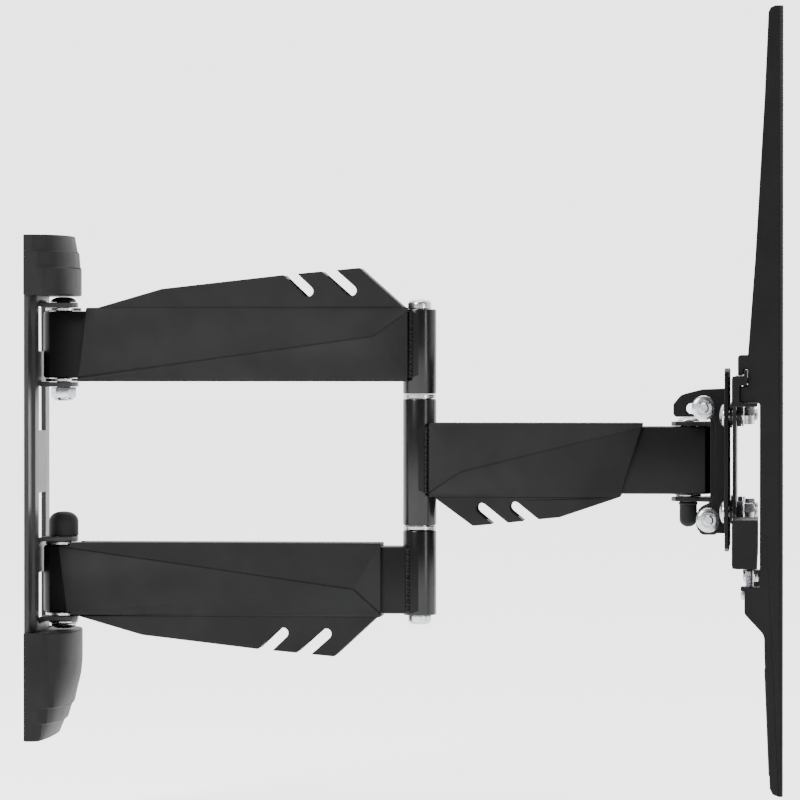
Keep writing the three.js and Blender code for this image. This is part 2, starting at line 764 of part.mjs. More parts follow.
// Moves a cover from its own frame onto an arm; across and up are +1 or -1.
function onArm(shell, across, up, x, z) {
  const mirrored = across < 0 ? shell.mirror([1, 0, 0]) : shell;
  const turnedOver = up < 0 ? mirrored.mirror([0, 0, 1]) : mirrored;
  return turnedOver.translate([x, 0, z]);
}

function pivotRelief(z) {
  const above = rod(pivotReliefRadius, tubeHalf, 2 * tubeHeight);
  const below = rod(pivotReliefRadius, -2 * tubeHeight, -tubeHalf);
  return [above, below].map((disc) => disc.translate(wallPivotX, 0, z));
}

function hingeRelief(x) {
  return rod(hingeRadius + 0.4, -plateHeight, plateHeight, tubeSides).translate(x, 0, 0);
}

place('upper_arm_cover', 'plastic',
  cut(onArm(wallShell(shellStart, 0), -1, 1, elbowX, upperArmZ),
    ...pivotRelief(upperArmZ), hingeRelief(elbowX)));
place('lower_arm_cover', 'plastic',
  cut(onArm(wallShell(lowerShellStart, lowerFinShift), -1, -1, elbowX - lowerShellShift, lowerArmZ),
    ...pivotRelief(lowerArmZ)));
place('front_arm_cover', 'plastic',
  cut(onArm(frontShell(), 1, -1, elbowX, frontArmZ), hingeRelief(elbowX)));

// ---------------------------------------------------------------- swivel yoke

// A round eye that spreads to the full width of the web.
function swivelEar(z) {
  const half = yokeHalf - yokeSheet / 2;
  const spreadX = swivelX + earRadius * 0.4;
  const flareX = headX - yokeFlangeDepth;
  const plan = [
    [swivelX - earRadius, -earRadius, earRadius * 0.98],
    [swivelX - earRadius, earRadius, earRadius * 0.98],
    [spreadX, earRadius], [flareX, half], [headX + 1, half],
    [headX + 1, -half], [flareX, -half], [spreadX, -earRadius],
  ];
  return planExtrude(plan, z, z + yokeSheet);
}

// A side flange: deep where the cross bolts pass, shallow between the ears.
function yokeFlange(side) {
  const [upperX, lowerX] = [headX - yokeUpperDepth, headX - yokeLowerDepth];
  const shallowX = headX - yokeFlangeDepth;
  const [upperZ, lowerZ] = [topEarZ + 5.7, bottomEarZ - 4.2];
  const profile = [
    [yokeWebFront, yokeTopZ], [upperX, yokeTopZ, 4], [upperX, upperZ, 3],
    [shallowX, upperZ, 2], [shallowX, bottomEarZ - 1.2, 2], [lowerX, lowerZ, 3],
    [lowerX, yokeBottomZ, 3], [yokeWebFront, yokeBottomZ],
  ];
  const [near, far] = side < 0 ? [-yokeHalf, yokeSheet - yokeHalf] : [yokeHalf - yokeSheet, yokeHalf];
  return sideExtrude(profile, near, far);
}

function crossHole(radius, point) {
  return alongY(rod(radius, -3 * yokeHalf, 3 * yokeHalf)).translate(point.x, 0, point.y);
}

function swivelYoke() {
  const web = box(headX, yokeWebFront, -yokeHalf, yokeHalf, yokeBottomZ, yokeTopZ);
  return cut(
    join(web, yokeFlange(-1), yokeFlange(1), swivelEar(topEarZ), swivelEar(bottomEarZ)),
    rod(swivelBoltRadius + gap, bottomEarZ - overcut, topEarZ + overcut).translate(swivelX, 0, 0),
    crossHole(tiltBoltRadius + gap, tiltLock),
    crossHole(tiltBoltRadius + gap, tiltPivot),
  );
}

place('swivel_yoke', 'steel', swivelYoke());
const swivelBoltLength = topEarZ + yokeSheet + gap - bottomEarZ + capNutHeight - 4;
placeAt('swivel_bolt', 'zinc',
  domeBolt(swivelBoltRadius, swivelHeadRadius, 2.4, swivelBoltLength),
  swivelX, 0, topEarZ + yokeSheet + gap);
placeAt('swivel_washer', 'zinc',
  ring(pivotHeadRadius, swivelBoltRadius + gap, 0, thinWasher), swivelX, 0, washerZ);

function capNut() {
  const bore = swivelBoltRadius + gap;
  const depth = capNutHeight - 3;
  return turned([
    [0, depth], [bore, depth], [bore, 0], [capNutRadius, 0], [capNutRadius, capNutHeight - 3],
    [capNutRadius * 0.8, capNutHeight - 0.8], [capNutRadius * 0.4, capNutHeight],
    [0, capNutHeight],
  ]);
}

placeAt('swivel_cap_nut', 'plastic', capNut(), swivelX, 0, bottomEarZ - gap)
  .rotation.x = Math.PI;

// Long bolts across the yoke, heads at +Y and flange nuts at -Y.
function crossBolt(name, point) {
  const seat = sideOuter + gap;
  const bolt = join(
    rod(tiltBoltRadius, -seat - tiltNutHeight - 1.5, seat + 1),
    rod(tiltNutFlange, seat, seat + 1.4),
    planExtrude(hexagon(levelNutAcross), seat + 1, seat + 5),
  );
  placeAt(`${name}_bolt`, 'zinc', alongY(geometryOf(bolt)), point.x, 0, point.y);
  const flangeNut = geometryOf(
    nut(levelNutAcross, tiltNutHeight, tiltBoltRadius + gap, tiltNutFlange, 1.4),
  );
  placeAt(`${name}_nut`, 'zinc', flangeNut.rotateX(Math.PI / 2), point.x, -seat, point.y);
}

crossBolt('tilt_lock', tiltLock);
crossBolt('tilt_pivot', tiltPivot);

// ---------------------------------------------------------------- tilt bracket

// A slot of one width bent around a centre, in whatever plane it is drawn.
function arcSlot(centreX, centreY, radius, width, fromDegrees, toDegrees) {
  const half = width / 2;
  const cap = (degrees, start) => {
    const angle = THREE.MathUtils.degToRad(degrees);
    return arc(
      centreX + radius * Math.cos(angle), centreY + radius * Math.sin(angle),
      half, start, start + 180, 6,
    );
  };
  return [
    ...arc(centreX, centreY, radius + half, fromDegrees, toDegrees, 4),
    ...cap(toDegrees, toDegrees).slice(1, -1),
    ...arc(centreX, centreY, radius - half, toDegrees, fromDegrees, 4),
    ...cap(fromDegrees, fromDegrees + 180).slice(1, -1),
  ];
}

// A side plate: a long lobe over the locking bolt, a short one under the pivot.
function tiltSide(side) {
  const [x, above, below, root] = [headX, topEarZ, bottomEarZ, tiltPlateRear + 1];
  const profile = [
    [root, above + 22.1], [x - 7.2, above + 21.5, 6], [x - 19, above + 18.5, 5],
    [x - 23.5, above + 13, 2], [x - 23.5, above + 5.5, 2], [x + 0.8, above + 5.5, 4],
    [x + 0.8, below + 4.6, 3], [x - 3.7, below - 2.1, 4], [x - 9.9, below - 5.7, 3],
    [x - 10.1, below - 17.1, 4], [x - 3.2, below - 18.2, 3], [root, below - 18.2],
  ];
  const [near, far] = side < 0 ? [-sideOuter, -sideInner] : [sideInner, sideOuter];
  return sideExtrude(profile, near, far);
}

function levelPoints() {
  return [[-1, 1], [1, 1], [1, -1], [-1, -1]].map(([across, up]) => [
    across * levelHalfWidth, levelZ + up * levelHalfHeight,
  ]);
}

function tiltBracket() {
  const half = tiltPlateHalfWidth;
  const plate = frontExtrude([
    [-half, tiltPlateBottom, 7], [half, tiltPlateBottom, 7],
    [half, tiltPlateTop, 7], [-half, tiltPlateTop, 7],
  ], tiltPlateRear, tiltPlateFront);
  const slot = arcSlot(
    tiltPivot.x, tiltPivot.y, tiltRadius, 2 * (tiltBoltRadius + gap),
    90 - tiltLean - tiltBack, 90 - tiltLean + tiltForward,
  );
  const boltHoles = levelPoints().map(([y, z]) => alongX(
    rod(levelBoltRadius + gap, swivelX, tiltPlateFront + overcut),
  ).translate(0, y, z));
  return cut(
    join(plate, tiltSide(-1), tiltSide(1)),
    sideExtrude(slot, -3 * yokeHalf, 3 * yokeHalf),
    crossHole(tiltBoltRadius + gap, tiltPivot),
    ...boltHoles,
  );
}

place('tilt_bracket', 'steel', tiltBracket());

const levelNutX = railFront + levelWasherThickness + 2 * gap;
levelPoints().forEach(([y, z], index) => {
  const number = index + 1;
  const rear = tiltPlateRear - gap;
  const tip = levelNutX + levelNutHeight + levelNutFlange + 2;
  const bolt = alongX(domeBolt(levelBoltRadius, levelHeadRadius, levelHeadHeight, tip - rear)
    .rotateX(Math.PI));
  placeAt(`level_bolt_${number}`, 'zinc', bolt, rear, y, z);
  placeAt(`level_spacer_${number}`, 'nylon',
    alongX(ring(spacerRadius, levelBoltRadius + gap, 0, spacerThickness)),
    tiltPlateFront + gap, y, z);
  placeAt(`level_washer_${number}`, 'nylon',
    alongX(ring(levelWasherRadius, levelBoltRadius + gap, 0, levelWasherThickness)),
    railFront + gap, y, z);
  const levelNut = nut(
    levelNutAcross, levelNutHeight + levelNutFlange, levelBoltRadius + gap,
    levelWasherRadius, levelNutFlange,
  );
  placeAt(`level_nut_${number}`, 'zinc', alongX(geometryOf(levelNut)), levelNutX, y, z);
});

// ---------------------------------------------------------------- rail plate

function levelSlot([y, z]) {
  const radius = Math.hypot(y, z - levelZ);
  const angle = THREE.MathUtils.radToDeg(Math.atan2(z - levelZ, y));
  const slot = arcSlot(
    0, levelZ, radius, 2 * (levelBoltRadius + gap), angle - levelRange, angle + levelRange,
  );
  return frontExtrude(slot, railX - overcut, railFront + overcut);
}

function railPlate() {
  const corner = 5;
  const web = frontExtrude([
    [-railHalf, upperRailBottom], [-railWebHalf, upperRailBottom, corner],
    [-railWebHalf, lowerRailTop, corner], [-railHalf, lowerRailTop],
    [-railHalf, lowerRailBottom], [railHalf, lowerRailBottom],
    [railHalf, lowerRailTop], [railWebHalf, lowerRailTop, corner],
    [railWebHalf, upperRailBottom, corner], [railHalf, upperRailBottom],
    [railHalf, upperRailTop], [-railHalf, upperRailTop],
  ], railX, railFront);
  const flange = (depth, y0, y1, z0) => box(railX, railX + depth, y0, y1, z0, z0 + railSheet);
  const innerZ = [upperRailBottom, lowerRailTop - railSheet];
  const hookEnd = [
    [railX, upperRailBottom], [railX, upperRailTop], [railX + hookFlange, upperRailTop],
    [railX + hookFlange, upperRailTop - hookEndBand],
    [railX + hookEndWidth, upperRailTop - hookEndBand],
    [railX + hookEndWidth, upperRailBottom + railSheet],
    [railX + railDepth, upperRailBottom + railSheet], [railX + railDepth, upperRailBottom],
  ];
  const ends = [[-railHalf, railSheet - railHalf], [railHalf - railSheet, railHalf]];
  return cut(
    join(
      web,
      flange(hookFlange, -railHalf, railHalf, upperRailTop - railSheet),
      box(railX + hookFlange - railSheet, railX + hookFlange, -railHalf, railHalf,
        upperRailTop - railSheet, upperRailTop + hookLip),
      flange(railDepth, -railHalf, railHalf, lowerRailBottom),
      ...innerZ.flatMap((z) => [
        flange(railDepth, -railHalf, -boltRelief - corner, z),
        flange(railDepth, boltRelief + corner, railHalf, z),
      ]),
      ...ends.flatMap(([y0, y1]) => [
        sideExtrude(hookEnd, y0, y1),
        box(railX, railX + railDepth, y0, y1, lowerRailBottom, lowerRailTop),
      ]),
    ),
    ...levelPoints().map(levelSlot),
  );
}

place('rail_plate', 'steel', railPlate());

// ---------------------------------------------------------------- TV brackets and locking screws

const lipRear = railX + hookFlange - railSheet;
const lipFront = railX + hookFlange;
const lipTop = upperRailTop + hookLip;
const notchX = railX + railDepth + 1.4;
const lockX = railX + 10;
const noseBottom = upperRailBottom + railSheet + gap;
const noseTop = upperRailTop - railSheet - hookLip - gap;

// Side outline: screen face in front, hook and nose at the upper rail, lobe under the lower one.
function bracketOutline() {
  const x = railX;
  return [
    [screenX, bracketBottom], [screenX, bracketTop], [x + 20.7, bracketTop, 4],
    [x + 18.4, bracketTop - 52],
    [x + 13.2, bracketTop - 142.6], [lipFront + gap, lipTop + 8.5],
    [railFront + 1.4, lipTop + 8.5, 1.5], [railFront + 1.4, upperRailTop + gap, 0.8],
    [lipRear - gap, upperRailTop + gap, 0.8], [lipRear - gap, lipTop + gap],
    [lipFront + gap, lipTop + gap], [lipFront + gap, noseTop],
    [railFront + 2.6, noseTop, 1.5], [railFront + 2.6, noseBottom, 1.5],
    [notchX, noseBottom, 1.5], [notchX, lockTabZ],
    [x + 7.1, lockTabZ, 1.5], [x + 7.1, lockTabZ - 15, 3],
    [x + 18.3, lockTabZ - 27, 6], [x + 18.5, lockTabZ - 39.6],
    [x + 21.7, bracketBottom, 5],
  ];
}

// The bent rear edge: a band of sheet thickness inside a stretch of the outline.
function rearBand(x0, z0, x1, z1) {
  return [[x0, z0], [x0 + bracketSheet, z0], [x1 + bracketSheet, z1], [x1, z1]];
}

function tvBracket(side) {
  const x = railX;
  const web = bracketWebY;
  const inner = web - bracketSheet;
  const lockY = inner - 7;
  const flangeY = web - bracketFlange;
  const slotCentre = (bracketTop + bracketBottom) / 2;
  const slots = screwSlotRows.map((row) => {
    const middle = slotCentre + row;
    const half = screwSlotWidth / 2;
    const line = bracketSpacing / 2;
    return frontExtrude([
      [line - half, middle - screwSlotLength / 2, half * 0.99],
      [line + half, middle - screwSlotLength / 2, half * 0.99],
      [line + half, middle + screwSlotLength / 2, half * 0.99],
      [line - half, middle + screwSlotLength / 2, half * 0.99],
    ], screenX - overcut, screenX + overcut);
  });
  const formed = join(
    sideExtrude(bracketOutline(), inner, web),
    box(screenX - bracketSheet, screenX, flangeY, web - 1, bracketBottom, bracketTop),
    sideExtrude(
      rearBand(x + 13.2, bracketTop - 142.6, x + 18.4, bracketTop - 52),
      inner - rearFlange, web - 1,
    ),
    sideExtrude(
      rearBand(x + 21, bracketBottom + 12, x + 18.7, lockTabZ - 46),
      inner - rearFlange, web - 1,
    ),
    box(lockX - 5, screenX - bracketSheet + 1, inner - lockTabDepth, web - 1,
      lockTabZ - bracketSheet, lockTabZ),
  );
  const whole = cut(
    formed,
    ...slots,
    rod(lockScrewRadius + gap, lockTabZ - 20, lockTabZ + 20).translate(lockX, lockY, 0),
  );
  return side > 0 ? whole : whole.mirror([0, 1, 0]);
}

function lockScrew() {
  const tip = lowerRailBottom - gap;
  const seat = lockTabZ - bracketSheet - gap;
  return turned([
    [0, tip], [lockScrewRadius - 0.8, tip], [lockScrewRadius, tip - 0.8], [lockScrewRadius, seat],
    [lockHeadRadius, seat], [lockHeadRadius, seat - lockHeadHeight + 0.6],
    [lockHeadRadius - 0.6, seat - lockHeadHeight], [0, seat - lockHeadHeight],
  ]);
}

const lockOffset = bracketWebY - bracketSheet - 7;
place('tv_bracket_left', 'steel', tvBracket(1));
place('tv_bracket_right', 'steel', tvBracket(-1));
placeAt('lock_screw_left', 'zinc', lockScrew(), lockX, lockOffset, 0);
placeAt('lock_screw_right', 'zinc', lockScrew(), lockX, -lockOffset, 0);

export default mount;
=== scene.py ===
"""Full motion TV wall mount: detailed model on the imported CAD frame.

Metres, in the CAD frame: X points away from the wall, Y runs along it, Z is up.
Shapes are written in millimetres and scaled by MM when they become meshes.
"""

from math import asin, cos, degrees, pi, radians, sin, sqrt

import bmesh
import bpy
from mathutils import Matrix, Vector


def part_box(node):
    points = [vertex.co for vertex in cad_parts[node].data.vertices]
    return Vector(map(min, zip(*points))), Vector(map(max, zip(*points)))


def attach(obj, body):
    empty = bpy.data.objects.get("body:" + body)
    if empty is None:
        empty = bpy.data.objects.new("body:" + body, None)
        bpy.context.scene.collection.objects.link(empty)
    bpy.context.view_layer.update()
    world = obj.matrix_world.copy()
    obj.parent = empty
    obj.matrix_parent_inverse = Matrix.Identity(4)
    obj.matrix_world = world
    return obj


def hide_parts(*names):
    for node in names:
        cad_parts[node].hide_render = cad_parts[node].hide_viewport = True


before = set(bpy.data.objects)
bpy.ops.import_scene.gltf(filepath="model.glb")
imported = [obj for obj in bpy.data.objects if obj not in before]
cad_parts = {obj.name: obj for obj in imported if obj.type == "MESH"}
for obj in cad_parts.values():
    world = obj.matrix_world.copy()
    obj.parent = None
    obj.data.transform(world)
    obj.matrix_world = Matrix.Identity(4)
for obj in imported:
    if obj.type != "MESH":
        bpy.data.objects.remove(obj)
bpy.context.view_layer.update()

MM = 0.001

# ---------------------------------------------------------------- places on the object, millimetres

WALL_PIVOT_X = 17.7
ELBOW_X = 231.9
SWIVEL_X = 391.5
UPPER_ARM_Z = 85.0
LOWER_ARM_Z = -55.0
FRONT_ARM_Z = 16.5
SCREEN_X = 447.2
BRACKET_WEB_Y = 113.0
RAIL_PLATE_REAR_X = 418.2

# ---------------------------------------------------------------- sizes, millimetres

M8_RADIUS = 4.0
M6_RADIUS = 3.0
M5_RADIUS = 2.5
M8_BORE = 4.3
M6_BORE = 3.3
TUBE_HALF_HEIGHT = 20.0
TUBE_HALF_WIDTH = 10.0
TUBE_EDGE_RADIUS = 1.6
WALL_END_RADIUS = 12.0
SWIVEL_END_RADIUS = 14.2
HINGE_RADIUS = 10.0
HINGE_BORE = 6.3
PIVOT_BOLT_LENGTH = 59.0
PIVOT_HEAD_RADIUS = 7.7
PIVOT_HEAD_HEIGHT = 3.3
PIVOT_SOCKET_RADIUS = 2.9
PIVOT_THREAD = 3.0
PIVOT_NUT_ACROSS = 13.0
PIVOT_NUT_HEIGHT = 6.2
PIVOT_NUT_BORE = 4.2
SMALL_NUT_ACROSS = 10.0
SMALL_NUT_BORE = 3.1
CROSS_BOLT_SEAT = 25.4
CROSS_NUT_FLANGE = 7.2
LEVEL_NUT_FLANGE = 6.3
LEVEL_HEAD_HEIGHT = 2.7
SWIVEL_BOLT_LENGTH = 58.0
SMALL_HEAD_RADIUS = 6.5
SWIVEL_HEAD_HEIGHT = 2.4
SWIVEL_SOCKET_RADIUS = 2.4
LOCK_GRIP_RADIUS = 5.0
LOCK_GRIP_HEIGHT = 5.0
LOCK_GRIP_TEETH = 30
GROOVE_WIDTH = 1.3
GROOVE_DEPTH = 1.3

# ---------------------------------------------------------------- material helpers


def new_material(name):
    """An empty node material with a Principled shader."""
    material = bpy.data.materials.new(name)
    material.use_nodes = True
    tree = material.node_tree
    tree.nodes.clear()
    output = tree.nodes.new("ShaderNodeOutputMaterial")
    shader = tree.nodes.new("ShaderNodeBsdfPrincipled")
    tree.links.new(shader.outputs["BSDF"], output.inputs["Surface"])
    return material, tree, shader


def noise(tree, scale, detail=3.0, stretch=(1.0, 1.0, 1.0)):
    """Noise in object space; scale counts features per metre."""
    place = tree.nodes.new("ShaderNodeTexCoord")
    mapping = tree.nodes.new("ShaderNodeMapping")
    mapping.inputs["Scale"].default_value = stretch
    texture = tree.nodes.new("ShaderNodeTexNoise")
    texture.inputs["Scale"].default_value = scale
    texture.inputs["Detail"].default_value = detail
    tree.links.new(place.outputs["Object"], mapping.inputs["Vector"])
    tree.links.new(mapping.outputs["Vector"], texture.inputs["Vector"])
    return texture.outputs["Fac"]


def blend_colours(tree, factor, low, high):
    """A colour ramp between two linear colours, over the middle of a 0 to 1 value."""
    ramp = tree.nodes.new("ShaderNodeValToRGB")
    first, last = ramp.color_ramp.elements
    first.position = 0.35
    first.color = (*low, 1.0)
    last.position = 0.65
    last.color = (*high, 1.0)
    tree.links.new(factor, ramp.inputs["Fac"])
    return ramp.outputs["Color"]


def spread(tree, factor, low, high):
    """Maps a 0 to 1 value onto low to high."""
    node = tree.nodes.new("ShaderNodeMapRange")
    node.inputs["To Min"].default_value = low
    node.inputs["To Max"].default_value = high
    tree.links.new(factor, node.inputs["Value"])
    return node.outputs["Result"]


def bump(tree, shader, height, strength, distance):
    """Fine relief on a surface; distance in metres."""
    node = tree.nodes.new("ShaderNodeBump")
    node.inputs["Strength"].default_value = strength
    node.inputs["Distance"].default_value = distance
    tree.links.new(height, node.inputs["Height"])
    tree.links.new(node.outputs["Normal"], shader.inputs["Normal"])


def coated(name, level, roughness, specular, grain, relief):
    """A coated or moulded surface: even colour with slight clouding and a fine grain."""
    material, tree, shader = new_material(name)
    cloud = noise(tree, 35.0)
    cool_tint = (0.98, 0.99, 1.03)
    dark = tuple(level * tint * 0.85 for tint in cool_tint)
    light = tuple(level * tint * 1.15 for tint in cool_tint)
    tree.links.new(blend_colours(tree, cloud, dark, light), shader.inputs["Base Color"])
    tree.links.new(
        spread(tree, noise(tree, 90.0), roughness - 0.06, roughness + 0.06),
        shader.inputs["Roughness"],
    )
    shader.inputs["Specular IOR Level"].default_value = specular
    bump(tree, shader, noise(tree, grain, 2.0), relief, 0.00005)
    return material


def plated(name, low, high, roughness):
    """Zinc plated steel: metallic, faintly mottled, with fine turning marks."""
    material, tree, shader = new_material(name)
    mottle = noise(tree, 260.0)
    tree.links.new(blend_colours(tree, mottle, low, high), shader.inputs["Base Color"])
    shader.inputs["Metallic"].default_value = 1.0
    tree.links.new(
        spread(tree, noise(tree, 500.0), roughness - 0.08, roughness + 0.1),
        shader.inputs["Roughness"],
    )
    bump(tree, shader, noise(tree, 2500.0, 2.0, (1.0, 1.0, 6.0)), 0.05, 0.00002)
    return material


# ---------------------------------------------------------------- materials

FINISHES = {
    "steel": coated("black powder coat", 0.0035, 0.42, 0.12, 2600.0, 0.3),
    "plate_steel": coated("wall plate powder coat", 0.014, 0.42, 0.25, 2600.0, 0.3),
    "gloss_steel": coated("gloss black tube", 0.003, 0.24, 0.3, 1800.0, 0.05),
    "plastic": coated("black moulded plastic", 0.009, 0.55, 0.1, 3400.0, 0.45),
    "nylon": coated("black nylon", 0.005, 0.42, 0.3, 3000.0, 0.2),
    "zinc": plated("bright zinc", (0.4, 0.41, 0.43), (0.52, 0.53, 0.55), 0.26),
}

# ---------------------------------------------------------------- shape helpers, millimetres

# Turns of the Z axis onto each axis of the object.
AXES = {
    "Z": Matrix(((1, 0, 0), (0, 1, 0), (0, 0, 1))),
    "-Z": Matrix(((1, 0, 0), (0, -1, 0), (0, 0, -1))),
    "X": Matrix(((0, 0, 1), (0, 1, 0), (-1, 0, 0))),
    "-X": Matrix(((0, 0, -1), (0, 1, 0), (1, 0, 0))),
    "Y": Matrix(((1, 0, 0), (0, 0, 1), (0, -1, 0))),
    "-Y": Matrix(((1, 0, 0), (0, 0, -1), (0, 1, 0))),
}


def arc(centre, radius, start, stop, steps):
    """Points on an arc, angles in degrees."""
    angles = [radians(start + (stop - start) * step / steps) for step in range(steps + 1)]
    return [(centre[0] + radius * cos(a), centre[1] + radius * sin(a)) for a in angles]


def hexagon(across, start=0.0):
    """Corners of a hexagon, its width measured across flats."""
    return arc((0, 0), across / sqrt(3), start, start + 300, 5)


def shift(points, across, up):
    """An outline moved in its own plane."""
    return [(x + across, y + up) for x, y in points]


def add(shape, part):
    """Adds a finished part to a shape and frees the part."""
    mesh = bpy.data.meshes.new("part")
    part.to_mesh(mesh)
    part.free()
    shape.from_mesh(mesh)
    bpy.data.meshes.remove(mesh)


def filled_outline(loops, thickness, bevel):
    """A flat mesh about Z = 0 with softened rims: the first loop is its outline, others are holes."""
    curve = bpy.data.curves.new("outline", "CURVE")
    curve.dimensions = "2D"
    curve.fill_mode = "BOTH"
    curve.extrude = thickness / 2 - bevel
    curve.bevel_depth = bevel
    curve.bevel_resolution = 1
    curve.offset = -bevel
    for loop in loops:
        spline = curve.splines.new("POLY")
        spline.points.add(len(loop) - 1)
        for point, (x, y) in zip(spline.points, loop):
            point.co = (x, y, 0, 1)
        spline.use_cyclic_u = True
    holder = bpy.data.objects.new("outline", curve)
    mesh = bpy.data.meshes.new_from_object(holder)
    bpy.data.objects.remove(holder)
    bpy.data.curves.remove(curve)
    return mesh


def plate(shape, loops, low, high, bevel):
    """Adds a level piece between two heights, from its outline and its holes."""
    mesh = filled_outline(loops, high - low, bevel)
    middle = Vector((0, 0, (low + high) / 2))
    for vertex in mesh.vertices:
        vertex.co = vertex.co + middle
    part = bmesh.new()
    part.from_mesh(mesh)
    bpy.data.meshes.remove(mesh)
    bmesh.ops.remove_doubles(part, verts=part.verts, dist=0.001)
    bmesh.ops.recalc_face_normals(part, faces=part.faces)
    add(shape, part)


def ring_of(part, radius, height, sides, turn, place):
    """Points of one level of a turned part, or its single point on the axis."""
    count = 1 if radius == 0 else sides
    ring = []
    for side in range(count):
        angle = 2 * pi * side / sides
        local = Vector((radius * cos(angle), radius * sin(angle), height))
        ring.append(part.verts.new(turn @ local + place))
    return ring


def spin(shape, profile, origin, axis="Z", sides=48):
    """Adds a turned part; the profile is a list of (radius, height) about the axis."""
    part = bmesh.new()
    turn = AXES[axis]
    place = Vector(origin)
    rings = [ring_of(part, radius, height, sides, turn, place) for radius, height in profile]
    for lower, upper in zip(rings, rings[1:]):
        for side in range(sides):
            following = (side + 1) % sides
            corners = [
                lower[side % len(lower)], lower[following % len(lower)],
                upper[following % len(upper)], upper[side % len(upper)],
            ]
            distinct = list(dict.fromkeys(corners))
            if len(distinct) > 2:
                part.faces.new(distinct)
    bmesh.ops.remove_doubles(part, verts=part.verts, dist=0.0005)
    bmesh.ops.recalc_face_normals(part, faces=part.faces)
    add(shape, part)


def closed_ring(outer, inner, low, high, chamfer):
    """Profile of a washer or sleeve with chamfered rims."""
    return [
        (inner, low), (outer - chamfer, low), (outer, low + chamfer),
        (outer, high - chamfer), (outer - chamfer, high), (inner, high), (inner, low),
    ]


def threaded(radius, low, high, pitch=1.0):
    """Profile points of a ridged thread from low to high."""
    depth = 0.55 * pitch
    count = max(1, int((high - low) / pitch))
    step = (high - low) / count
    points = []
    for turn in range(count):
        base = low + turn * step
        points += [(radius - depth, base), (radius, base + step / 2)]
    return points + [(radius - depth, high)]


def show(name, shape, body, finish, nodes=(), smooth=32.0):
    """Turns a shape in millimetres into a piece of the object, riding on a body."""
    mesh = bpy.data.meshes.new(name)
    bmesh.ops.scale(shape, vec=(MM, MM, MM), verts=shape.verts)
    shape.to_mesh(mesh)
    shape.free()
    mesh.polygons.foreach_set("use_smooth", [True] * len(mesh.polygons))
    mesh.set_sharp_from_angle(angle=radians(smooth))
    mesh.materials.append(FINISHES[finish])
    piece = bpy.data.objects.new(name, mesh)
    bpy.context.scene.collection.objects.link(piece)
    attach(piece, body)
    if nodes:
        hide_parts(*nodes)
    return piece


def box_of(node):
    """Lowest and highest corner of a CAD node, in millimetres."""
    low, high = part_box(node)
    return Vector(low) / MM, Vector(high) / MM


def cut_grooves(shape, test, width, depth):
    """Turns the tested edges into V grooves; the depth goes towards the middle plane Y = 0."""
    lines = [line for line in shape.edges if test(*[vertex.co for vertex in line.verts])]
    if not lines:
        raise ValueError("no edge lies on the groove")
    spans = [tuple(vertex.co.copy() for vertex in line.verts) for line in lines]
    cut = bmesh.ops.bevel(
        shape, geom=lines, offset=width / 2, offset_type="OFFSET", segments=2, profile=0.5,
        affect="EDGES", clamp_overlap=False,
    )
    for vertex in cut["verts"]:
        for start, stop in spans:
            along = stop - start
            share = min(1.0, max(0.0, (vertex.co - start).dot(along) / along.length_squared))
            if (start + along * share - vertex.co).length < width * 0.2:
                vertex.co.y -= depth if vertex.co.y > 0 else -depth
                break


def cad_shape(node):
    """A copy of a CAD node in millimetres, with its flat faces made whole."""
    shape = bmesh.new()
    shape.from_mesh(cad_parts[node].data)
    bmesh.ops.transform(shape, matrix=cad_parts[node].matrix_world, verts=shape.verts)
    bmesh.ops.scale(shape, vec=(1 / MM, 1 / MM, 1 / MM), verts=shape.verts)
    bmesh.ops.remove_doubles(shape, verts=shape.verts, dist=0.002)
    bmesh.ops.dissolve_limit(
        shape, angle_limit=radians(0.5), verts=shape.verts, edges=shape.edges,
    )
    return shape


HARD_EDGE_ANGLE = radians(33)


def refined(node, body, finish, edge, bends=(), groove=None):
    """A formed part: its CAD shape with every hard edge softened, and wider radii at its bends.

    Each bend is (test, radius), where test tells from an edge's two ends if it is on the bend.
    A groove is a test of the same kind.
    """
    shape = cad_shape(node)
    if groove:
        cut_grooves(shape, groove, GROOVE_WIDTH, GROOVE_DEPTH)
    widest = max([edge] + [radius for _, radius in bends])
    weights = shape.edges.layers.float.new("bevel_weight_edge")
    for line in shape.edges:
        if len(line.link_faces) != 2 or line.calc_face_angle() < HARD_EDGE_ANGLE:
            continue
        ends = [vertex.co for vertex in line.verts]
        if groove and groove(*ends, GROOVE_WIDTH):
            continue
        radius = next((wide for test, wide in bends if test(*ends)), edge)
        line[weights] = radius / widest
    piece = show(node, shape, body, finish, [node])
    bevel = piece.modifiers.new("soft edges", "BEVEL")
    bevel.limit_method = "WEIGHT"
    bevel.width = widest * MM
    bevel.segments = 3 if bends else 2
    bevel.use_clamp_overlap = False
    bevel.harden_normals = False


# ---------------------------------------------------------------- wall plate, covers and wall pivots

refined("wall_plate", "wall_bracket", "plate_steel", 0.4)
refined("top_cover", "wall_bracket", "plastic", 0.7)
refined("bottom_cover", "wall_bracket", "plastic", 0.7)


def middle_of(node):
    """Centre of a CAD node's box, in millimetres."""
    low, high = box_of(node)
    return (low + high) / 2


def washer(node, body, finish, bore, axis="Z", chamfer=0.3):
    """A washer or sleeve the size of its CAD node."""
    low, high = box_of(node)
    along = "XYZ".index(axis[-1])
    half = (high - low)[along] / 2
    outer = (high - low)[(along + 1) % 3] / 2
    shape = bmesh.new()
    spin(shape, closed_ring(outer, bore, -half, half, chamfer), middle_of(node), axis)
    show(node, shape, body, finish, [node])


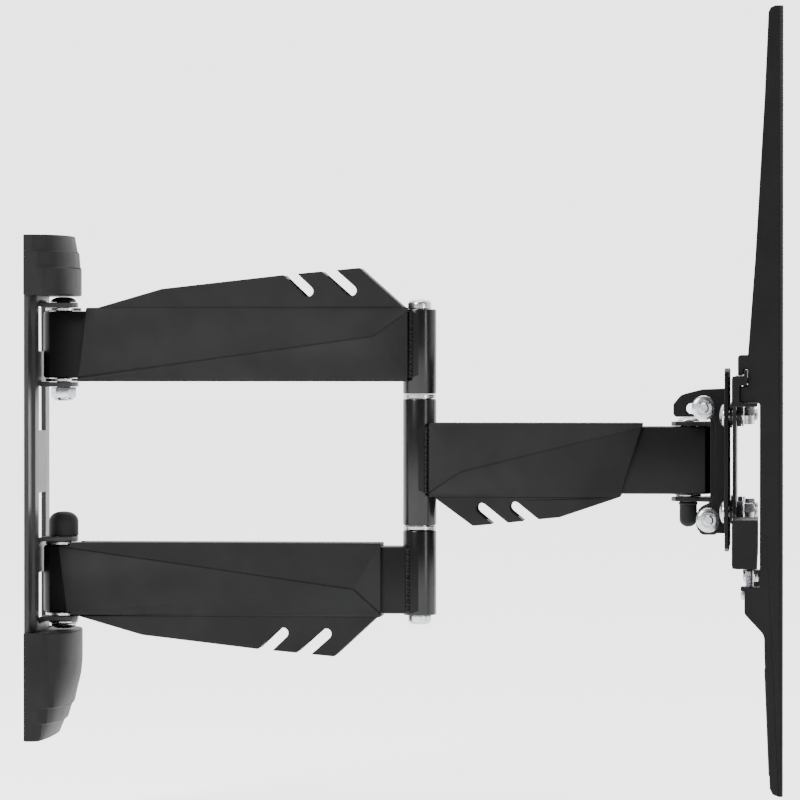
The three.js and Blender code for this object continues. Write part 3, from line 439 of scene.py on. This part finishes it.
def dome_head(radius, height, socket):
    """Profile of a low domed head on a seat at zero, with a round socket if one is given."""
    dome = [(radius - 0.2, 0), (radius, 0.25)]
    dome += [(radius * cos(a), 0.25 + (height - 0.25) * sin(a)) for a in
             (radians(step * 10) for step in range(1, 9))]
    if socket:
        kept = [point for point in dome if point[0] > socket + 0.3]
        return kept + [(socket, kept[-1][1] + 0.1), (socket, height * 0.35), (0, height * 0.3)]
    return dome + [(0, height)]


def bolt(shape, origin, axis, radius, length, head, height, socket=0.0, thread=0.0):
    """A bolt with its head's seat at the origin, its shank going back along the axis."""
    tip = [(0, -length), (radius - 0.8, -length), (radius - 0.2, 0.6 - length)]
    if thread:
        tip += threaded(radius, 0.6 - length, thread - length)
    spin(shape, tip + [(radius, thread - length + 0.3), (radius, 0)]
         + dome_head(head, height, socket), origin, axis)


def hex_nut(shape, centre, across, low, high, bore):
    """A hexagon nut between two heights, with softened corners."""
    loops = [shift(hexagon(across), *centre), shift(arc((0, 0), bore, 0, 345, 23), *centre)]
    plate(shape, loops, low, high, 0.5)


for node in ("upper_pivot_washer_top", "upper_pivot_washer_bottom",
             "lower_pivot_washer_top", "lower_pivot_washer_bottom", "lower_pivot_head_washer"):
    washer(node, "wall_bracket", "zinc", M8_BORE)
for node in ("upper_pivot_bush", "lower_pivot_bush"):
    washer(node, "wall_bracket", "nylon", M8_BORE)


def pivot_bolt(node, seat, axis, finish):
    """A wall pivot's domed bolt, from its head's seat."""
    shape = bmesh.new()
    bolt(shape, (WALL_PIVOT_X, 0, seat), axis, M8_RADIUS, PIVOT_BOLT_LENGTH,
         PIVOT_HEAD_RADIUS, PIVOT_HEAD_HEIGHT, PIVOT_SOCKET_RADIUS, PIVOT_THREAD)
    show(node, shape, "wall_bracket", finish, [node])


def lock_nut(node, seat, direction):
    """A nut with a nylon collar; its seat is at a height and its collar on the far side."""
    shape = bmesh.new()
    levels = sorted((seat, seat + direction * PIVOT_NUT_HEIGHT))
    hex_nut(shape, (WALL_PIVOT_X, 0), PIVOT_NUT_ACROSS, *levels, PIVOT_NUT_BORE)
    collar = [
        (PIVOT_NUT_BORE, 6.0), (6.0, 6.0), (6.0, 7.2), (5.3, 8.0),
        (PIVOT_NUT_BORE, 8.0), (PIVOT_NUT_BORE, 6.0),
    ]
    spin(shape, collar, (WALL_PIVOT_X, 0, seat), "Z" if direction > 0 else "-Z")
    show(node, shape, "wall_bracket", "zinc", [node])


def nut_cap(node):
    """The round-topped plastic cap over a wall pivot's nut."""
    low, high = box_of(node)
    radius = (high - low).x / 2
    top = high.z - low.z
    shoulder = 6.2
    dome = [
        (radius * cos(radians(a)) ** 0.8, top - shoulder + shoulder * sin(radians(a)))
        for a in range(10, 90, 10)
    ]
    shape = bmesh.new()
    spin(shape, [
        (radius - 1.0, 0), (radius - 0.2, 0), (radius, 0.3), (radius, top - shoulder),
        *dome,
        (0, top),
    ], (WALL_PIVOT_X, 0, low.z))
    show(node, shape, "wall_bracket", "plastic", [node])


pivot_bolt("upper_pivot_bolt", 110.5, "Z", "nylon")
pivot_bolt("lower_pivot_bolt", -82.0, "-Z", "zinc")
lock_nut("upper_pivot_nut", 59.5, -1)
lock_nut("lower_pivot_nut", -29.5, 1)
nut_cap("lower_pivot_nut_cap")

# ---------------------------------------------------------------- arms and hinge column


def arm_plan(end_x, end_radius):
    """Plan of an arm tube from the hinge axis to its rounded end."""
    direction = 1 if end_x > ELBOW_X else -1
    spread_angle = degrees(asin(TUBE_HALF_WIDTH / end_radius))
    end = arc((0, 0), end_radius, -spread_angle, spread_angle, 24)
    return [
        (ELBOW_X, -TUBE_HALF_WIDTH),
        *[(end_x + direction * x, y) for x, y in end],
        (ELBOW_X, TUBE_HALF_WIDTH),
    ]


def weld_bead(shape, x, low, high, phase):
    """A rippled bead up both sides of a tube; the phase makes each bead's ripple its own."""
    bead_radius = 1.45
    sunk = 0.55
    rings_apart = 0.5
    count = int((high - low) / rings_apart)
    profile = [(0, low)]
    for step in range(count + 1):
        height = low + (high - low) * step / count
        ripple = 0.28 * sin(height * 3.1 + phase) + 0.12 * sin(height * 7.7 + phase)
        profile.append((bead_radius + ripple, height + 0.001))
    profile.append((0, high + 0.002))
    for side in (-1, 1):
        spin(shape, profile, (x, side * (TUBE_HALF_WIDTH - sunk), 0), "Z", 16)


def hinge_tube(shape, low, high):
    """The round tube of a hinge column, with rounded rims."""
    spin(shape, [
        (HINGE_BORE, low), (9.1, low), (9.8, low + 0.25), (HINGE_RADIUS, low + 0.9),
        (HINGE_RADIUS, high - 0.9), (9.8, high - 0.25), (9.1, high), (HINGE_BORE, high),
        (HINGE_BORE, low),
    ], (ELBOW_X, 0, 0), "Z", 72)


def arm(node, body, end_x, end_radius, z, hinge_low, hinge_high, bead_x):
    """An arm: its flat tube, the weld at its hinge end, and its hinge tube."""
    low, high = z - TUBE_HALF_HEIGHT, z + TUBE_HALF_HEIGHT
    shape = bmesh.new()
    plate(shape, [arm_plan(end_x, end_radius)], low, high, TUBE_EDGE_RADIUS)
    show(node, shape, body, "steel", [node], 40.0)
    shape = bmesh.new()
    weld_bead(shape, bead_x, low + 1, high - 1, z)
    show(f"{node}_weld", shape, body, "steel", (), 60.0)
    shape = bmesh.new()
    hinge_tube(shape, hinge_low, hinge_high)
    show(f"{node}_hinge_tube", shape, body, "gloss_steel")


arm("upper_arm", "wall_arms", WALL_PIVOT_X, WALL_END_RADIUS, UPPER_ARM_Z, 55.6, 106, 227.2)
arm("lower_arm", "wall_arms", WALL_PIVOT_X, WALL_END_RADIUS, LOWER_ARM_Z, -76, -25.6, 225.4)
arm("front_arm", "front_arm", SWIVEL_X, SWIVEL_END_RADIUS, FRONT_ARM_Z, -22.6, 52.6, 236.6)


def pin_end(node, seat, axis):
    """A rounded end of the elbow's pin, with the shank behind its seat."""
    shape = bmesh.new()
    spin(shape, [
        (0, -12), (6, -12), (6, 0), (6.6, 0), (7, 0.35), (7, 2.6),
        *[(4.4 + 2.6 * cos(radians(a)), 2.6 + 2.6 * sin(radians(a))) for a in range(15, 90, 15)],
        (4.4, 5.25), (2.2, 5.5), (0, 5.6),
    ], (ELBOW_X, 0, seat), axis)
    show(node, shape, "wall_arms", "zinc", [node])


def flanged_bush(node, seat, axis):
    """An elbow bush: a sleeve behind its seat and a flange on it."""
    shape = bmesh.new()
    spin(shape, [
        (HINGE_BORE, -14), (7.7, -14), (7.7, 0), (9.4, 0), (9.8, 0.35), (9.8, 2.05), (9.4, 2.4),
        (HINGE_BORE, 2.4), (HINGE_BORE, -14),
    ], (ELBOW_X, 0, seat), axis)
    show(node, shape, "front_arm", "zinc", [node])


pin_end("hinge_pin", 106.3, "Z")
pin_end("hinge_pin_cap", -76.3, "-Z")
flanged_bush("elbow_bush_upper", 52.9, "Z")
flanged_bush("elbow_bush_lower", -22.9, "-Z")
washer("swivel_bush", "front_arm", "nylon", M6_BORE)


# A cover's outer faces lie further than this from the middle, its hollow nearer.
COVER_OUTER_Y = 11.0


def ridge(*corners):
    """Tests for an edge on a cover's ridge, whose corners are given in X and Z."""
    spans = [(Vector(a), Vector(b)) for a, b in zip(corners, corners[1:])]

    def off(point, span):
        start, along = span[0], span[1] - span[0]
        share = min(1.0, max(0.0, (point - start).dot(along) / along.length_squared))
        return (start + along * share - point).length

    def test(a, b, reach=0.25):
        ends = [Vector((end.x, end.z)) for end in (a, b)]
        same_side = a.y * b.y > 0 and min(abs(a.y), abs(b.y)) > COVER_OUTER_Y
        return same_side and any(all(off(end, span) < reach for end in ends) for span in spans)
    return test


refined("upper_arm_cover", "wall_arms", "plastic", 0.6,
        groove=ridge((225.5, 104.5), (205.5, 90.0), (28.1, 65.5)))
refined("lower_arm_cover", "wall_arms", "plastic", 0.6,
        groove=ridge((209.5, -74.5), (193.5, -60.0), (16.1, -35.5)))
refined("front_arm_cover", "front_arm", "plastic", 0.6,
        groove=ridge((238.3, -3.0), (257.1, 9.5), (364.2, 36.0)))

# ---------------------------------------------------------------- swivel and tilt head


def upright_bend(x, y, reach=0.2):
    """Tests for a vertical edge at a plan position, on either side of the middle."""
    def test(a, b):
        return all(abs(end.x - x) < reach and abs(abs(end.y) - y) < reach for end in (a, b))
    return test


def level_bend(x, z, reach=0.2):
    """Tests for an edge along Y at a side position."""
    def test(a, b):
        return all(abs(end.x - x) < reach and abs(end.z - z) < reach for end in (a, b))
    return test


refined("swivel_yoke", "swivel", "steel", 0.4, [
    (upright_bend(409.2, 22), 2.2),
])
refined("tilt_bracket", "tilt_head", "steel", 0.4)

washer("swivel_washer", "swivel", "zinc", M6_BORE)


def swivel_bolt(node):
    """The bolt the head swivels on."""
    shape = bmesh.new()
    bolt(shape, (SWIVEL_X, 0, 39.6), "Z", M6_RADIUS, SWIVEL_BOLT_LENGTH,
         SMALL_HEAD_RADIUS, SWIVEL_HEAD_HEIGHT, SWIVEL_SOCKET_RADIUS)
    show(node, shape, "swivel", "zinc", [node])


def cap_nut(node):
    """The round-ended nut under the swivel bolt, hanging from its seat."""
    low, high = box_of(node)
    flange = (high - low).x / 2
    barrel = flange - 0.5
    height = high.z - low.z
    shoulder = 4.5
    dome = [
        (barrel * cos(radians(a)), height - shoulder + shoulder * sin(radians(a)))
        for a in range(15, 90, 15)
    ]
    shape = bmesh.new()
    spin(shape, [
        (M6_BORE, 0), (flange - 0.6, 0), (flange, 0.6), (flange, 1.4),
        (barrel, 1.9), (barrel, height - shoulder),
        *dome,
        (0, height), (0, 0), (M6_BORE, 0),
    ], (SWIVEL_X, 0, high.z), "-Z")
    show(node, shape, "swivel", "plastic", [node])


swivel_bolt("swivel_bolt")
cap_nut("swivel_cap_nut")


def flange_profile(bore, outer):
    """Profile of a nut's flange, coned on top."""
    return [
        (bore, 0), (outer - 0.2, 0), (outer, 0.25), (outer, 0.8), (outer - 0.3, 1.1),
        (outer - 1.6, 1.9), (bore, 1.9), (bore, 0),
    ]


def flange_nut(shape, axis, seat, height, bore, outer):
    """A small flanged nut, its seat at a place and its crown along an axis of the object."""
    spin(shape, flange_profile(bore, outer), seat, axis)
    crown = bmesh.new()
    loops = [hexagon(SMALL_NUT_ACROSS, 30), arc((0, 0), bore + 0.5, 0, 345, 23)]
    plate(crown, loops, 1.0, height, 0.9)
    turn = AXES[axis].to_4x4()
    bmesh.ops.transform(crown, matrix=Matrix.Translation(seat) @ turn, verts=crown.verts)
    add(shape, crown)


def cross_bolt(name, x, z):
    """A bolt across the head, its flanged head on one side and its nut on the other."""
    shape = bmesh.new()
    spin(shape, [
        (0, -32.9), (2.2, -32.9), (2.8, -32.4), *threaded(M6_RADIUS, -32.4, -CROSS_BOLT_SEAT),
        (M6_RADIUS, -25), (M6_RADIUS, CROSS_BOLT_SEAT), (0, CROSS_BOLT_SEAT),
    ], (x, 0, z), "Y")
    flange_nut(shape, "Y", (x, CROSS_BOLT_SEAT, z), 5.0, 0.001, CROSS_NUT_FLANGE)
    show(f"{name}_bolt", shape, "swivel", "zinc", [f"{name}_bolt"])
    shape = bmesh.new()
    flange_nut(shape, "-Y", (x, -CROSS_BOLT_SEAT, z), 6.0, SMALL_NUT_BORE, CROSS_NUT_FLANGE)
    show(f"{name}_nut", shape, "swivel", "zinc", [f"{name}_nut"])


def level_fixing(number):
    """One of the four bolts that hold the rail plate, with its spacer, washer and nut."""
    middle = middle_of(f"level_bolt_{number}")
    low, high = box_of(f"level_bolt_{number}")
    rear = low.x + LEVEL_HEAD_HEIGHT
    shape = bmesh.new()
    bolt(shape, (rear, middle.y, middle.z), "-X", M6_RADIUS, high.x - rear,
         SMALL_HEAD_RADIUS, LEVEL_HEAD_HEIGHT, thread=5)
    show(f"level_bolt_{number}", shape, "tilt_head", "zinc", [f"level_bolt_{number}"])
    washer(f"level_spacer_{number}", "tilt_head", "nylon", M6_BORE, "X", 0.25)
    washer(f"level_washer_{number}", "tilt_head", "nylon", M6_BORE, "X")
    low, high = box_of(f"level_nut_{number}")
    shape = bmesh.new()
    flange_nut(shape, "X", (low.x, middle.y, middle.z), high.x - low.x,
               SMALL_NUT_BORE, LEVEL_NUT_FLANGE)
    show(f"level_nut_{number}", shape, "tilt_head", "zinc", [f"level_nut_{number}"])


cross_bolt("tilt_lock", 401.16, 47.65)
cross_bolt("tilt_pivot", 403.8, -18.2)
for number in (1, 2, 3, 4):
    level_fixing(number)

# ---------------------------------------------------------------- rail plate and TV brackets

refined("rail_plate", "rail_plate", "steel", 0.35, [
    (level_bend(RAIL_PLATE_REAR_X, 66.5), 2.4), (level_bend(427.0, 64.5), 1.8),
    (level_bend(RAIL_PLATE_REAR_X, 49.2), 2.4), (level_bend(RAIL_PLATE_REAR_X, -15.0), 2.4),
    (level_bend(RAIL_PLATE_REAR_X, -42.8), 3.6),
])
for side in ("left", "right"):
    refined(f"tv_bracket_{side}", f"tv_bracket_{side}", "steel", 0.4, [
        (upright_bend(SCREEN_X, BRACKET_WEB_Y), 2.6),
    ])


def knurled(shape, x, y, low, high):
    """A lock screw's round grip with fine teeth."""
    outline = []
    for tooth in range(LOCK_GRIP_TEETH):
        for part, reach in ((0.0, -0.35), (0.3, 0.0), (0.6, 0.0), (0.9, -0.35)):
            angle = 2 * pi * (tooth + part) / LOCK_GRIP_TEETH
            radius = LOCK_GRIP_RADIUS + reach
            outline.append((x + radius * cos(angle), y + radius * sin(angle)))
    plate(shape, [outline], low, high, 0.3)


def lock_screw(node):
    """A screw that locks a TV bracket under the lower rail."""
    low, high = box_of(node)
    middle = middle_of(node)
    seat = low.z + LOCK_GRIP_HEIGHT
    shape = bmesh.new()
    spin(shape, [
        (0, low.z + 1), (2.3, low.z + 1), (2.3, seat + 0.5),
        *threaded(M5_RADIUS, seat + 0.5, high.z - 0.9, 0.8),
        (1.6, high.z), (0, high.z),
    ], (middle.x, middle.y, 0))
    knurled(shape, middle.x, middle.y, low.z, seat)
    show(node, shape, node, "zinc", [node])


for side in ("left", "right"):
    lock_screw(f"lock_screw_{side}")

# ---------------------------------------------------------------- floor, light and camera, metres

FLOOR_Z = -0.2
FLOOR_REACH = 30


def stage_material(name, level, glow):
    """A pale matt surface with the faintest variation and a glow of its own."""
    material, tree, shader = new_material(name)
    low = (level * 0.985,) * 3
    high = (level,) * 3
    tree.links.new(blend_colours(tree, noise(tree, 3.0), low, high), shader.inputs["Base Color"])
    shader.inputs["Roughness"].default_value = 0.9
    shader.inputs["Specular IOR Level"].default_value = 0.1
    shader.inputs["Emission Color"].default_value = (1.0, 1.0, 1.0, 1.0)
    shader.inputs["Emission Strength"].default_value = glow
    return material


def add_floor():
    """A wide pale floor below the object."""
    corners = [(-1, -1), (1, -1), (1, 1), (-1, 1)]
    mesh = bpy.data.meshes.new("floor")
    mesh.from_pydata(
        [(x * FLOOR_REACH, y * FLOOR_REACH, FLOOR_Z) for x, y in corners], [], [(0, 1, 2, 3)],
    )
    mesh.materials.append(stage_material("pale floor", 0.86, 1.6))
    floor = bpy.data.objects.new("floor", mesh)
    bpy.context.scene.collection.objects.link(floor)


def add_world():
    """White studio light that is dim behind the camera and bright behind the object."""
    world = bpy.data.worlds.new("studio")
    world.use_nodes = True
    tree = world.node_tree
    background = tree.nodes["Background"]
    direction = tree.nodes.new("ShaderNodeTexCoord")
    split = tree.nodes.new("ShaderNodeSeparateXYZ")
    fade = tree.nodes.new("ShaderNodeMapRange")
    fade.interpolation_type = "SMOOTHSTEP"
    fade.inputs["From Min"].default_value = -0.5
    fade.inputs["From Max"].default_value = 0.5
    fade.inputs["To Min"].default_value = 0.22
    fade.inputs["To Max"].default_value = 3.2
    tree.links.new(direction.outputs["Generated"], split.inputs["Vector"])
    tree.links.new(split.outputs["Y"], fade.inputs["Value"])
    tree.links.new(fade.outputs["Result"], background.inputs["Strength"])
    background.inputs["Color"].default_value = (1.0, 1.0, 1.0, 1.0)
    bpy.context.scene.world = world


def soft_light(name, place, aim, width, height, power):
    """A rectangular soft light at a place, turned to an aim."""
    light = bpy.data.lights.new(name, "AREA")
    light.shape = "RECTANGLE"
    light.size = width
    light.size_y = height
    light.energy = power
    holder = bpy.data.objects.new(name, light)
    holder.location = place
    holder.rotation_euler = (Vector(aim) - Vector(place)).to_track_quat("-Z", "Y").to_euler()
    bpy.context.scene.collection.objects.link(holder)


def add_camera():
    """A distant camera at the photo's angle, nearly square to the arms' side."""
    data = bpy.data.cameras.new("camera")
    data.lens = 196.0
    data.sensor_width = 36.0
    data.clip_end = 100.0
    camera = bpy.data.objects.new("camera", data)
    camera.location = (0.4395, -2.5856, 0.073)
    camera.rotation_euler = (radians(90 - 0.465), 0, radians(4.85))
    bpy.context.scene.collection.objects.link(camera)
    bpy.context.scene.camera = camera


add_floor()
add_world()
soft_light("key light", (-0.9, -1.5, 1.2), (0.22, 0, 0.05), 0.6, 0.8, 60)
soft_light("side light", (1.9, -1.5, 0.4), (0.25, 0, 0.05), 0.2, 1.2, 14)
soft_light("top light", (0.2, -0.1, 1.8), (0.22, 0, 0.05), 1.2, 0.8, 18)
add_camera()
